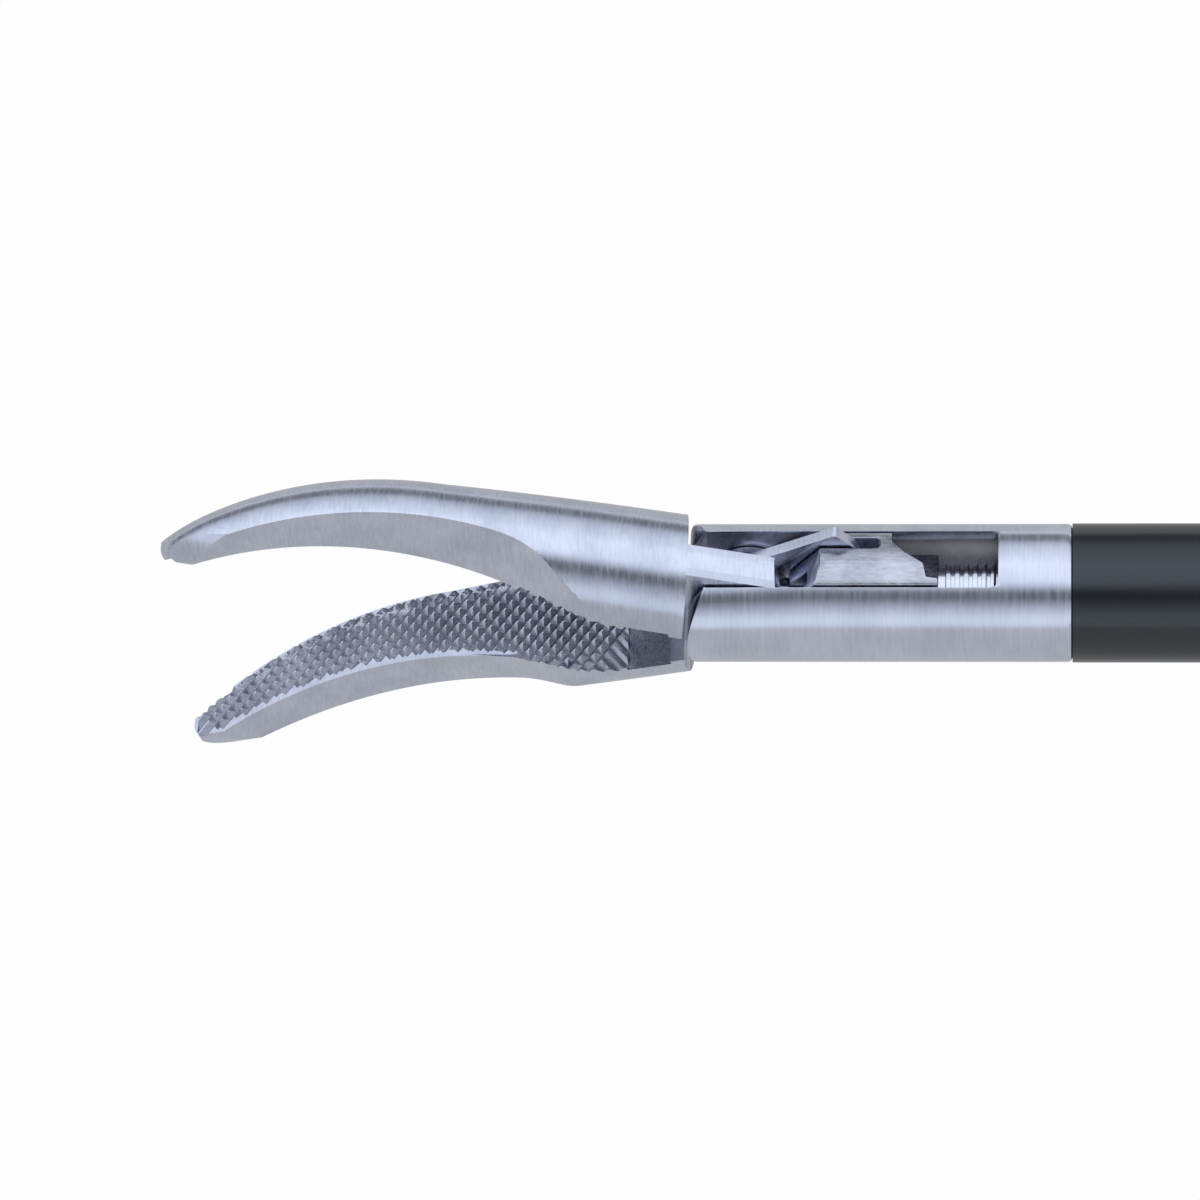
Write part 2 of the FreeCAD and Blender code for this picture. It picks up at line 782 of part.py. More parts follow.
def handle_shell(side):
    # Drawn on the +Y side. The other half is its mirror image, apart from the screw heads.
    barrel = plate(barrel_outline(0), 0, shell_width)
    barrel = fillet_at(barrel, shell_edge, lambda e: lies_at_y(e, shell_width))
    grip = plate(grip_outline(), 0, grip_width)
    grip = grip.cut(plate(finger_ring_outline(finger_ring_wall), -1, grip_width + 1))
    grip = chamfer_at(grip, grip_edge, lambda e: lies_at_y(e, grip_width))
    pocket = plate(barrel_outline(shell_wall), -1, pocket_width)
    bosses = cylinder_y(pivot_boss_radius, lever_room, pocket_width, lever_pivot_x, lever_z)
    first = screw_places()[0]
    bosses = bosses.fuse(cylinder_y(screw_boss_radius, 0, pocket_width, first[0], first[1]))
    pocket = pocket.cut(bosses)
    shell = barrel.fuse(grip).cut(pocket)
    mouth = block(neck_back + lever_room_clearance, lever_pivot_x + lever_mouth_behind, -1, lever_room,
                  -lever_mouth_depth, -lever_mouth_start)
    shell = shell.cut(mouth)
    journal = collar_radius + journal_clearance
    shell = shell.cut(cylinder_x(journal, handle_front - 1, pocket_front + 1))
    shell = shell.cut(cylinder_x(detent_ball_radius + side_clearance, handle_front - 1, detent_hole_end(),
                                 0, -detent_inset))
    shell = shell.cut(cylinder_y(lever_pin_radius, -1, shell_width + 1, lever_pivot_x, lever_z))
    shell = shell.cut(ratchet_room())
    shell = shell.cut(cylinder_y(pawl_pin_radius, -1, grip_width - pawl_pin_wall, pawl_x, pawl_z))
    shell = shell.cut(cylinder_z(post_base_radius, 0, 2 * handle_height, post_x))
    shell = shell.cut(cylinder_z(post_collar_radius, post_collar_floor(), post_collar_top(), post_x))
    for x, z, width in screw_places():
        shell = shell.cut(cylinder_y(screw_radius, -1, width - shell_wall, x, z))
        if side > 0:
            shell = shell.cut(cylinder_y(screw_radius, -1, width + 1, x, z))
            shell = shell.cut(cylinder_y(screw_head_radius, width - screw_head_depth, width + 1, x, z))
    if side < 0:
        shell = shell.mirror(V(0, 0, 0), V(0, 1, 0))
    return shell


def handle_screws():
    screws = []
    for x, z, width in screw_places():
        screw = cylinder_y(screw_radius, shell_wall - width, width - screw_head_depth, x, z)
        screw = screw.fuse(cylinder_y(screw_head_radius, width - screw_head_depth, width - screw_sink, x, z))
        hexagon = []
        for i in range(7):
            turn = math.radians(60.0 * i)
            hexagon.append(V(x + screw_socket_radius * math.cos(turn), width - screw_sink - screw_socket_depth,
                             z + screw_socket_radius * math.sin(turn)))
        screws.append(screw.cut(Part.Face(Part.makePolygon(hexagon)).extrude(V(0, 3, 0))))
    return Part.makeCompound(screws)


# Thumb lever and its pivot

def thumb_lever():
    half = lever_thickness / 2
    slot = ball_radius + running_clearance
    fork = block(-slot - fork_wall, slot + fork_wall, -half, half, 0, lever_arm + fork_height)
    fork = fork.fuse(cylinder_y(lever_hub_radius, -half, half))
    fork = fork.cut(block(-slot, slot, -half - 1, half + 1, lever_arm - slot, lever_arm + fork_height + 1))
    neck = rod_radius + lever_neck_play
    fork = fork.cut(block(-slot - fork_wall - 1, 0, -neck, neck, lever_arm - slot, lever_arm + fork_height + 1))
    fork.rotate(V(0, 0, 0), V(0, 1, 0), -lever_swing / 2)
    fork.translate(V(lever_pivot_x, 0, lever_z))
    wide = thumb_ring_width / 2
    ring_z = -thumb_ring_drop
    arm = plate([(lever_pivot_x - lever_hub_radius, lever_z, 0), (lever_pivot_x + lever_hub_radius, lever_z, 0),
                 (lever_pivot_x + 6.5, -19.0, 14.0), (thumb_ring_x - 4, ring_z + 13.5, 0),
                 (thumb_ring_x - 12, ring_z + 2, 0), (lever_pivot_x - 1.5, -24.0, 16.0)], -half, half)
    arm = chamfer_at(arm, lever_edge, lambda e: (lies_at_y(e, half) or lies_at_y(e, -half))
                     and e.BoundBox.ZMax < lever_z - 1)
    arm = arm.cut(cylinder_y(thumb_ring_radius + thumb_ring_wall / 2, -wide, wide, thumb_ring_x, ring_z))
    ring = cylinder_y(thumb_ring_radius + thumb_ring_wall, -wide, wide, thumb_ring_x, ring_z)
    ring = ring.cut(cylinder_y(thumb_ring_radius, -wide - 1, wide + 1, thumb_ring_x, ring_z))
    ring = chamfer_at(ring, lever_edge, lambda e: lies_at_y(e, wide) or lies_at_y(e, -wide))
    lever = fork.fuse(arm).fuse(ring)
    lever = lever.cut(cylinder_y(lever_pin_radius + running_clearance, -half - 1, half + 1,
                                 lever_pivot_x, lever_z))
    return lever.cut(rack_seat())


def lever_pivot():
    reach = shell_width - pin_end_inset
    return cylinder_y(lever_pin_radius, -reach, reach, lever_pivot_x, lever_z)


# Ratchet

def rack_seat():
    half = rack_thickness / 2
    inner = rack_radius - rack_height / 2
    return arc_band(inner, inner + rack_height, rack_seat_start, rack_end, -half, half)


def ratchet_rack():
    # Curved rack fixed in a slot of the lever, with teeth on its outer side.
    half = rack_thickness / 2
    outer = rack_radius + rack_height / 2
    rack = arc_band(rack_radius - rack_height / 2, outer, rack_start, rack_end, -half, half)
    pitch = lever_swing / rack_teeth
    for i in range(rack_teeth + 3):
        base = rack_end - rack_first_tooth - i * pitch
        tip_x, tip_z = polar(outer - rack_tooth_depth, base)
        steep_x, steep_z = polar(outer + rack_clearance, base + rack_tooth_rake)
        slant_x, slant_z = polar(outer + rack_clearance, base - pitch)
        wire = Part.makePolygon([V(tip_x, -half - 1, tip_z), V(steep_x, -half - 1, steep_z),
                                 V(slant_x, -half - 1, slant_z), V(tip_x, -half - 1, tip_z)])
        rack = rack.cut(Part.Face(wire).extrude(V(0, 2 * half + 2, 0)))
    return rack


def ratchet_room():
    # The tunnel in the grip's neck for the rack, and the room for the pawl.
    half = rack_thickness / 2 + rack_clearance
    last = rack_end + lever_swing + 2.0
    tunnel = arc_band(rack_radius - rack_height / 2 - rack_clearance,
                      rack_radius + rack_height / 2 + rack_clearance, 0.0, last, -half, half)
    room = plate([(pawl_x - 3.6, pawl_z - 3.0, 1.0), (pawl_x - 3.6, pawl_z + 3.5, 1.0),
                  (neck_back - 3.5, -26.5, 1.0), (neck_back + 3, -26.5, 0),
                  (neck_back + 3, pawl_z - 3.0, 0)], -half, half)
    return tunnel.fuse(room)


def pawl_outline():
    # Tooth towards the rack and a finger tab behind the neck.
    tip_x, tip_z = polar(rack_radius + rack_height / 2 + pawl_gap, 18.0)
    return [(pawl_x - 1.5, pawl_z + 1.8, 0.6), (tip_x - 0.8, tip_z - 0.4, 0), (tip_x + 0.4, tip_z, 0),
            (tip_x + 1.0, tip_z - 2.0, 0.4), (neck_back + 4.8, pawl_z + 0.2, 0.8),
            (neck_back + 4.6, pawl_z - 1.9, 0.8), (pawl_x, pawl_z - 2.3, 1.5)]


def ratchet_pawl():
    half = pawl_thickness / 2
    pawl = cylinder_y(pawl_hub_radius, -half, half, pawl_x, pawl_z)
    pawl = pawl.fuse(plate(pawl_outline(), -half, half))
    return pawl.cut(cylinder_y(pawl_pin_radius + running_clearance, -half - 1, half + 1, pawl_x, pawl_z))


def pawl_pin():
    reach = grip_width - pawl_pin_wall
    return cylinder_y(pawl_pin_radius, -reach, reach, pawl_x, pawl_z)


# Electrode post and its contact

def post_collar_top():
    return handle_height - shell_wall + post_seat_height


def post_collar_floor():
    return post_collar_top() - post_collar_height


def electrode_post():
    # A plug post on a round base, held between the shells by a collar.
    base_top = handle_height + post_base_height
    top = base_top + post_length
    post = cylinder_z(post_radius, base_top, top, post_x)
    post = chamfer_at(post, post_tip_chamfer, lambda e: e.BoundBox.ZMin > top - 0.01)
    post = post.fuse(cylinder_z(post_base_radius, post_collar_floor() - post_foot, base_top, post_x))
    return post.fuse(cylinder_z(post_collar_radius, post_collar_floor(), post_collar_top(), post_x))


def contact_spring():
    # A bent leaf from the post down to the rod.
    top = post_collar_floor() - post_foot
    touch = rod_radius + running_clearance
    t = contact_thickness
    return plate([(post_x - post_radius, top, 0), (post_x + post_radius, top, 0),
                  (post_x + post_radius, top - t, 0), (post_x - post_radius + 1.2, top - t, 0.2),
                  (post_x - 2.4, touch + t, 0.6), (post_x + 1.4, touch + t + 0.4, 0),
                  (post_x + 1.4, touch + 0.4, 0), (post_x - 2.9, touch, 0.8)],
                 -contact_width / 2, contact_width / 2)


closed_body = jaw_body()
parts = {
    "upper_jaw": jaw(closed_body, True),
    "lower_jaw": jaw(closed_body, False),
    "jaw_housing": jaw_housing(),
    "jaw_pivot_pin": jaw_pivot_pin(),
    "rod_head": rod_head(),
    "cam_pin": cam_pin(),
    "pull_rod": pull_rod(),
    "shaft_tube": shaft_tube(),
    "insulation_sleeve": insulation_sleeve(),
    "rod_guides": rod_guides(),
    "tube_collar": tube_collar(),
    "rod_seal": rod_seal(),
    "retaining_clip": retaining_clip(),
    "rotation_knob": rotation_knob(),
    "knob_grub_screw": grub_screw(),
    "detent_ball": detent_ball(),
    "detent_spring": detent_spring(),
    "handle_shell_left": handle_shell(1),
    "handle_shell_right": handle_shell(-1),
    "handle_screws": handle_screws(),
    "thumb_lever": thumb_lever(),
    "lever_pivot": lever_pivot(),
    "ratchet_rack": ratchet_rack(),
    "ratchet_pawl": ratchet_pawl(),
    "pawl_pin": pawl_pin(),
    "electrode_post": electrode_post(),
    "contact_spring": contact_spring(),
}

os.makedirs("parts", exist_ok=True)
for name, shape in parts.items():
    shape.exportStep("parts/" + name + ".step")
    print(name, len(shape.Solids), shape.isValid(), round(shape.Volume, 2))
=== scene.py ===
from math import asin, cos, pi, radians, sin, sqrt

import bmesh
import bpy
from mathutils import Matrix, Vector


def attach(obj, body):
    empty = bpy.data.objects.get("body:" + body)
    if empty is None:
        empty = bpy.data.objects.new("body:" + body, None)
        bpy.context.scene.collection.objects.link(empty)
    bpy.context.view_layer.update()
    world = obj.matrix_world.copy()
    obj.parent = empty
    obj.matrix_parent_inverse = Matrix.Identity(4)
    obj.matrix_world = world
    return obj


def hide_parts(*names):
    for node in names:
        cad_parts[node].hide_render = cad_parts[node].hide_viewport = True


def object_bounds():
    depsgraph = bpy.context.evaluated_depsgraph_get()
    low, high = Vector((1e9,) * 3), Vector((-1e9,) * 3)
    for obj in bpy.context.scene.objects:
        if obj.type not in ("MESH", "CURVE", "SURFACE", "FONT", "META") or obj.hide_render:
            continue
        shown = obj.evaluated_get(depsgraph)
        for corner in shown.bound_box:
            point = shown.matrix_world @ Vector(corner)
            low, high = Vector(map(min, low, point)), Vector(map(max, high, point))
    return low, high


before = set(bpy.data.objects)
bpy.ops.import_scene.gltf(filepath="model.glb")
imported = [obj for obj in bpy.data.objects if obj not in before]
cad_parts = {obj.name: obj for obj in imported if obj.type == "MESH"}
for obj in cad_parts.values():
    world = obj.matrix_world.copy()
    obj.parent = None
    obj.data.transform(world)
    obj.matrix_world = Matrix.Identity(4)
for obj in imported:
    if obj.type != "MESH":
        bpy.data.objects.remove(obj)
cad_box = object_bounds()

# The view. The photograph is a close-up of the working end, taken square to the shaft from
# 56 degrees above its side. Its 27.7 pixels a millimetre come from the shaft, which is 5 mm thick.
pixels_per_metre = 27700
photo_width = 1200
pivot_column = 750
shaft_row = 593
camera_column = 1072
view_height = radians(56)
camera_distance = 0.25
film_width = 36
nearest_seen = 0.01
pivot = Vector((-0.3085, 0, 0))
looks_along = Vector((0, cos(view_height), -sin(view_height)))
image_up = Vector((0, sin(view_height), cos(view_height)))
rise = image_up * ((shaft_row - photo_width / 2) / pixels_per_metre)
aim = pivot + Vector(((photo_width / 2 - pivot_column) / pixels_per_metre, 0, 0)) + rise
stand = pivot + Vector(((camera_column - pivot_column) / pixels_per_metre, 0, 0)) + rise
stand = stand - looks_along * camera_distance
sight = (aim - stand).normalized()
sideways = sight.cross(image_up).normalized()
upright = sideways.cross(sight)
lens = bpy.data.cameras.new("photo_camera")
lens.sensor_width = film_width
lens.lens = film_width * (aim - stand).length / (photo_width / pixels_per_metre)
lens.clip_start = nearest_seen
camera = bpy.data.objects.new("photo_camera", lens)
facing = Matrix((sideways, upright, -sight)).transposed().to_4x4()
camera.matrix_world = Matrix.Translation(stand) @ facing
bpy.context.collection.objects.link(camera)
bpy.context.scene.camera = camera
bpy.context.scene.view_settings.view_transform = "Standard"


# The studio. One softbox hangs overhead and a lower one stands in front, with a dark gap between
# them where the camera looks in and a dim horizon behind. Bright metal shows them as long bands.
def reckoned(tree, operation, first, second):
    # A Math node that works on two sockets, or on a socket and a number.
    node = tree.nodes.new("ShaderNodeMath")
    node.operation = operation
    for socket, value in zip(node.inputs, (first, second)):
        if isinstance(value, bpy.types.NodeSocket):
            tree.links.new(value, socket)
        else:
            socket.default_value = value
    return node.outputs[0]


# Height above the front horizon in degrees, with 90 overhead and 180 at the back horizon, and
# the brightness there. The light is a little blue.
studio_bands = ((-180, 0.45), (-60, 0.6), (-12, 0.6), (4, 0.84), (14, 0.8), (30, 0.52), (40, 0.3),
                (47, 0.13), (57, 0.13), (66, 0.62), (76, 0.98), (106, 1.02), (125, 0.82),
                (148, 0.58), (156, 0.18), (170, 0.2), (180, 0.45))
studio_red = 0.95
studio_blue = 1.09
studio = bpy.data.worlds.new("studio")
bpy.context.scene.world = studio
studio.use_nodes = True
tree = studio.node_tree
nodes = tree.nodes
links = tree.links
nodes.clear()
direction = nodes.new("ShaderNodeTexCoord")
parts = nodes.new("ShaderNodeSeparateXYZ")
links.new(direction.outputs["Generated"], parts.inputs[0])
forwards = reckoned(tree, "MULTIPLY", parts.outputs["Y"], -1)
share = nodes.new("ShaderNodeMapRange")
share.inputs["From Min"].default_value = -pi
share.inputs["From Max"].default_value = pi
links.new(reckoned(tree, "ARCTAN2", parts.outputs["Z"], forwards), share.inputs["Value"])
softboxes = nodes.new("ShaderNodeValToRGB")
softboxes.color_ramp.interpolation = "EASE"
links.new(share.outputs["Result"], softboxes.inputs["Fac"])
levels = softboxes.color_ramp.elements
for height, level in studio_bands:
    stop = levels.new((height + 180) / 360)
    stop.color = (level * studio_red, level, level * studio_blue, 1)
levels.remove(levels[0])
levels.remove(levels[-1])
seen = nodes.new("ShaderNodeLightPath")
glow = nodes.new("ShaderNodeBackground")
links.new(softboxes.outputs["Color"], glow.inputs["Color"])
plain = nodes.new("ShaderNodeBackground")
plain.inputs["Color"].default_value = (1, 1, 1, 1)
either = nodes.new("ShaderNodeMixShader")
links.new(seen.outputs["Is Camera Ray"], either.inputs["Fac"])
links.new(glow.outputs[0], either.inputs[1])
links.new(plain.outputs[0], either.inputs[2])
world_out = nodes.new("ShaderNodeOutputWorld")
links.new(either.outputs[0], world_out.inputs["Surface"])

# The table. A white sweep stands well below the handle. The camera and clear things see it as
# plain white with the soft shadow of the grasper, and the metal sees it a little greyer.
table_drop = 0.03
table_half = 3
paper_white = 0.93
mirrored_level = 0.5
shown_above = 0.1
shadow_free = 0.96
bm = bmesh.new()
bmesh.ops.create_grid(bm, x_segments=1, y_segments=1, size=table_half)
bmesh.ops.translate(bm, vec=(0, 0, cad_box[0][2] - table_drop), verts=bm.verts)
mesh = bpy.data.meshes.new("table")
bm.to_mesh(mesh)
bm.free()
table = bpy.data.objects.new("table", mesh)
bpy.context.collection.objects.link(table)
paper = bpy.data.materials.new("white_sweep")
paper.use_nodes = True
tree = paper.node_tree
nodes = tree.nodes
links = tree.links
nodes.clear()
sheet = nodes.new("ShaderNodeBsdfDiffuse")
sheet.inputs["Color"].default_value = (paper_white, paper_white, paper_white, 1)
shine = nodes.new("ShaderNodeEmission")
seen = nodes.new("ShaderNodeLightPath")
mirrored = reckoned(tree, "MULTIPLY", seen.outputs["Is Glossy Ray"], mirrored_level)
strength = reckoned(tree, "ADD", seen.outputs["Is Camera Ray"], mirrored)
strength = reckoned(tree, "ADD", strength, seen.outputs["Is Transmission Ray"])
links.new(strength, shine.inputs["Strength"])
shown = reckoned(tree, "GREATER_THAN", strength, shown_above)
either = nodes.new("ShaderNodeMixShader")
links.new(reckoned(tree, "MULTIPLY", shown, shadow_free), either.inputs["Fac"])
links.new(sheet.outputs[0], either.inputs[1])
links.new(shine.outputs[0], either.inputs[2])
paper_out = nodes.new("ShaderNodeOutputMaterial")
links.new(either.outputs[0], paper_out.inputs["Surface"])
mesh.materials.append(paper)


# The jaws. Each is one forging of stainless steel, drawn here in millimetres about the pivot,
# closed and pointing to -X. Its round back is ground hollow along the near side, two crossed sets
# of V grooves are cut in the mating face, and a thin tail behind the pivot carries the cam slot.
millimetre = 0.001
jaw_length = 21.4
back_radius = 2.46
back_fullness = 0.42
taper_length = 23.4
bend_start = 11.6
far_bend = 14.2
mating_gap = 0.04
root_reach = 2.45
root_lean = radians(9)
nose_radius = 0.85
nose_offset = 1.9
wheel_radius = 14.6
teeth_from = 4.6
open_angle = radians(15.5)
jaw_crease = 16
# Further out than any jaw or housing, for tools that only have to clear them.
beyond = 9
merge_distance = 2e-7


def smooth_object(bm, name, crease=28):
    # Edges sharper than the crease, in degrees, stay sharp.
    mesh = bpy.data.meshes.new(name)
    bm.to_mesh(mesh)
    bm.free()
    mesh.shade_smooth()
    mesh.set_sharp_from_angle(angle=radians(crease))
    piece = bpy.data.objects.new(name, mesh)
    bpy.context.collection.objects.link(piece)
    return piece


def machined(bm, tool, action="DIFFERENCE"):
    # Takes one closed shape out of another, or keeps what they share, and hands back the result.
    work = smooth_object(bm, "work")
    cutter = smooth_object(tool, "cutter")
    step = work.modifiers.new("step", "BOOLEAN")
    step.operation = action
    step.solver = "EXACT"
    step.object = cutter
    bpy.context.view_layer.update()
    view = bpy.context.evaluated_depsgraph_get()
    result = bmesh.new()
    result.from_mesh(bpy.data.meshes.new_from_object(work.evaluated_get(view)))
    for spare in (work, cutter):
        old = spare.data
        bpy.data.objects.remove(spare)
        bpy.data.meshes.remove(old)
    return result


def joined(bm, more):
    # Puts a second closed shape in with the first.
    shell = bpy.data.meshes.new("shell")
    more.to_mesh(shell)
    more.free()
    bm.from_mesh(shell)
    bpy.data.meshes.remove(shell)
    return bm


def corners(geometry):
    return [item for item in geometry if isinstance(item, bmesh.types.BMVert)]


def rims(geometry):
    return [item for item in geometry if isinstance(item, bmesh.types.BMEdge)]


def rod(radius, x0, x1, segments=128):
    # A solid bar along X.
    bm = bmesh.new()
    bmesh.ops.create_cone(bm, cap_ends=True, segments=segments, radius1=radius, radius2=radius,
                          depth=x1 - x0)
    bmesh.ops.rotate(bm, matrix=Matrix.Rotation(pi / 2, 3, "Y"), verts=bm.verts)
    bmesh.ops.translate(bm, vec=((x0 + x1) / 2, 0, 0), verts=bm.verts)
    return bm


def bar(x0, x1, y0, y1, z0, z1):
    bm = bmesh.new()
    bmesh.ops.create_cube(bm, size=1)
    bmesh.ops.scale(bm, vec=(x1 - x0, y1 - y0, z1 - z0), verts=bm.verts)
    bmesh.ops.translate(bm, vec=((x0 + x1) / 2, (y0 + y1) / 2, (z0 + z1) / 2), verts=bm.verts)
    return bm


def back_size(s):
    # Radius of the round back, s millimetres in front of the pivot.
    return back_radius * (1 - (s / taper_length) ** 2) ** back_fullness


def back_centre(s, radius):
    # Past the bend the round back swings to the near side on a wide arc.
    if s < bend_start:
        return 0
    return radius - back_size(bend_start) + far_bend - sqrt(far_bend ** 2 - (s - bend_start) ** 2)


def forged_blank():
    # Rings grow towards the tip, where they close in a round nose that follows the far side.
    stations = 110
    nose_start = 19.98
    nose_steps = 14
    facets = 112
    plan = []
    for i in range(stations + 1):
        s = nose_start * i / stations
        plan.append((s, back_size(s)))
    for i in range(1, nose_steps):
        turn = pi / 2 * i / nose_steps
        s = nose_start + (jaw_length - nose_start) * sin(turn)
        plan.append((s, back_size(s) * cos(turn)))
    bm = bmesh.new()
    ring = bmesh.ops.create_circle(bm, cap_ends=True, segments=facets, radius=1)["verts"]
    bmesh.ops.rotate(bm, matrix=Matrix.Rotation(pi / 2, 3, "Y"), verts=ring)
    size = plan[0][1]
    bmesh.ops.scale(bm, vec=(1, size, size), verts=ring)
    rim = [edge for edge in bm.edges]
    place = Vector((0, 0, 0))
    for s, radius in plan[1:]:
        grown = bmesh.ops.extrude_edge_only(bm, edges=rim)["geom"]
        ring = corners(grown)
        rim = rims(grown)
        centre = Vector((-s, -back_centre(s, radius), 0))
        growth = radius / size
        bmesh.ops.translate(bm, vec=centre - place, verts=ring)
        bmesh.ops.scale(bm, vec=(1, growth, growth), space=Matrix.Translation(-centre), verts=ring)
        size = radius
        place = centre
    bmesh.ops.holes_fill(bm, edges=rim)
    bmesh.ops.recalc_face_normals(bm, faces=bm.faces)
    return bm


def swept(bm, vertex, centre, angle, steps, axis=(0, 0, 1)):
    # Carries a vertex round an arc and gives the last one.
    turned = bmesh.ops.spin(bm, geom=[vertex], cent=centre, axis=axis, dvec=(0, 0, 0),
                            angle=angle, steps=steps)["geom_last"]
    return corners(turned)[0]


def drawn(bm, vertex, to, steps=1):
    # Carries a vertex along a straight line, a stretch at a time.
    stretch = (Vector(to) - vertex.co) / steps
    for i in range(steps):
        vertex = bmesh.ops.extrude_vert_indiv(bm, verts=[vertex])["verts"][0]
        vertex.co += stretch
    return vertex


def thickened(bm, by):
    # Fills the outline that has been drawn and pulls it out into a closed block.
    flat = bmesh.ops.holes_fill(bm, edges=bm.edges)["faces"]
    pulled = bmesh.ops.extrude_face_region(bm, geom=flat)["geom"]
    bmesh.ops.translate(bm, vec=by, verts=corners(pulled))
    bmesh.ops.recalc_face_normals(bm, faces=bm.faces)
    return bm


def grinding_wheel():
    # The wheel follows a wide arc in from the tip and leaves the jaw in a short S. Its foot and
    # its top are two outlines, bridged, so the wall that it grinds leans in and then runs out.
    foot_centre = Vector((-13.1, -15.21, 0))
    top_centre = Vector((-12.37, -14.8, 2.7))
    past_tip = -24
    turn_in = -9.6
    turn_out = -7.3
    near_side = 2.44
    tight = 3.7
    steep = radians(40)
    run_out = 2.6
    wide_steps = 72
    tight_steps = 12
    bm = bmesh.new()
    for centre in (foot_centre, top_centre):
        start = asin((past_tip - centre.x) / wheel_radius)
        slant = asin((turn_in - centre.x) / wheel_radius)
        entry = centre + wheel_radius * Vector((sin(start), cos(start), 0))
        first = bmesh.ops.create_vert(bm, co=entry)["vert"][0]
        here = swept(bm, first, centre, start - slant, wide_steps)
        if centre.z == 0:
            late = asin((turn_out - centre.x) / wheel_radius)
            here = swept(bm, here, centre, slant - late, tight_steps)
            ease = (near_side + here.co.y) / (1 - cos(late))
            turn_centre = here.co + ease * Vector((sin(late), cos(late), 0))
            here = swept(bm, here, turn_centre, late, tight_steps)
        else:
            turn_centre = here.co - tight * Vector((sin(slant), cos(slant), 0))
            here = swept(bm, here, turn_centre, slant - steep, tight_steps)
            leaving = Vector((cos(steep), -sin(steep), 0)) * run_out
            here = drawn(bm, here, here.co + leaving, tight_steps)
        here = drawn(bm, here, (here.co.x, -beyond, centre.z))
        here = drawn(bm, here, (past_tip, -beyond, centre.z))
        bm.edges.new((here, first))
    foot = [e for e in bm.edges if e.verts[0].co.z < 1]
    top = [e for e in bm.edges if e.verts[0].co.z > 1]
    bmesh.ops.bridge_loops(bm, edges=foot + top)
    bmesh.ops.holes_fill(bm, edges=top)
    sunk = bmesh.ops.extrude_edge_only(bm, edges=foot)["geom"]
    bmesh.ops.translate(bm, vec=(0, 0, -1), verts=corners(sunk))
    bmesh.ops.holes_fill(bm, edges=rims(sunk))
    bmesh.ops.recalc_face_normals(bm, faces=bm.faces)
    return bm


def sliced(bm, through, normal):
    # Cuts the shape at a plane, drops what the normal points to, and closes the cut.
    cut = bmesh.ops.bisect_plane(bm, geom=bm.verts[:] + bm.edges[:] + bm.faces[:], plane_co=through,
                                 plane_no=normal, clear_outer=True)["geom_cut"]
    bmesh.ops.holes_fill(bm, edges=rims(cut))
    return bm


def nose_template():
    # Rounds the near corner of the tip in plan.
    centre = Vector((nose_radius - jaw_length, -nose_offset, -1))
    bm = bmesh.new()
    first = bmesh.ops.create_vert(bm, co=centre - Vector((nose_radius, 0, 0)))["vert"][0]
    last = swept(bm, first, centre, pi / 2, 16)
    for corner in ((centre.x + 0.5, -beyond), (1, -beyond), (1, beyond), (-jaw_length, beyond)):
        last = drawn(bm, last, corner + (-1,))
    bm.edges.new((last, first))
    return thickened(bm, (0, 0, 5))


def far_side(s):
    # How far out the mating face reaches on the side away from the wheel.
    return back_size(s) - back_centre(s, back_size(s))


def groove_set(lean, depth):
    # One family of the crossed grooves: a row of long three-sided bars, point up. Out to the tip
    # they stop short of the near edge, where the wheel's rim has left a plain strip, and all along
    # of the far edge.
    pitch = 0.4
    tooth_angle = radians(52)
    half_width = 0.19
    row_side = -0.61
    bar_reach = 4
    strip_centre = Vector((-13.1, -14.93, 0))
    strip_from = 8.6
    far_rim = 0.1
    nudge = 0.02
    step = pitch / sin(tooth_angle)
    height = depth + mating_gap / 2
    along = Vector((cos(tooth_angle), lean * sin(tooth_angle), 0))
    leaned = Matrix.Rotation(lean * tooth_angle, 3, "Z")
    row = bmesh.new()
    for i in range(int((jaw_length - teeth_from) / step) + 1):
        middle = Vector((-teeth_from - step * (i + 0.5), row_side, 0))
        far = 0
        while (middle + along * far).y < far_side(-(middle + along * far).x) - far_rim:
            far += nudge * lean
        near = -bar_reach * lean
        lead = (middle - strip_centre).dot(along)
        room = lead ** 2 - (middle - strip_centre).length_squared + wheel_radius ** 2
        if room > 0 and (middle + along * (lean * sqrt(room) - lead)).x < -strip_from:
            near = lean * sqrt(room) - lead
        point = bmesh.ops.create_circle(row, cap_ends=True, segments=3, radius=1)["verts"]
        face = list(point[0].link_faces)
        bmesh.ops.rotate(row, matrix=Matrix.Rotation(pi / 2, 3, "X"), verts=point)
        bmesh.ops.rotate(row, matrix=Matrix.Rotation(pi / 2, 3, "Z"), verts=point)
        bmesh.ops.translate(row, vec=(0, 0, -1), verts=point)
        bmesh.ops.scale(row, vec=(1, half_width / sin(pi / 3), height / 1.5), verts=point)
        bmesh.ops.translate(row, vec=(far, 0, height), verts=point)
        long = bmesh.ops.extrude_face_region(row, geom=face)["geom"]
        ends = corners(long)
        bmesh.ops.translate(row, vec=(near - far, 0, 0), verts=ends)
        bmesh.ops.rotate(row, matrix=leaned, verts=point + ends)
        bmesh.ops.translate(row, vec=middle, verts=point + ends)
    bmesh.ops.recalc_face_normals(row, faces=row.faces)
    return row


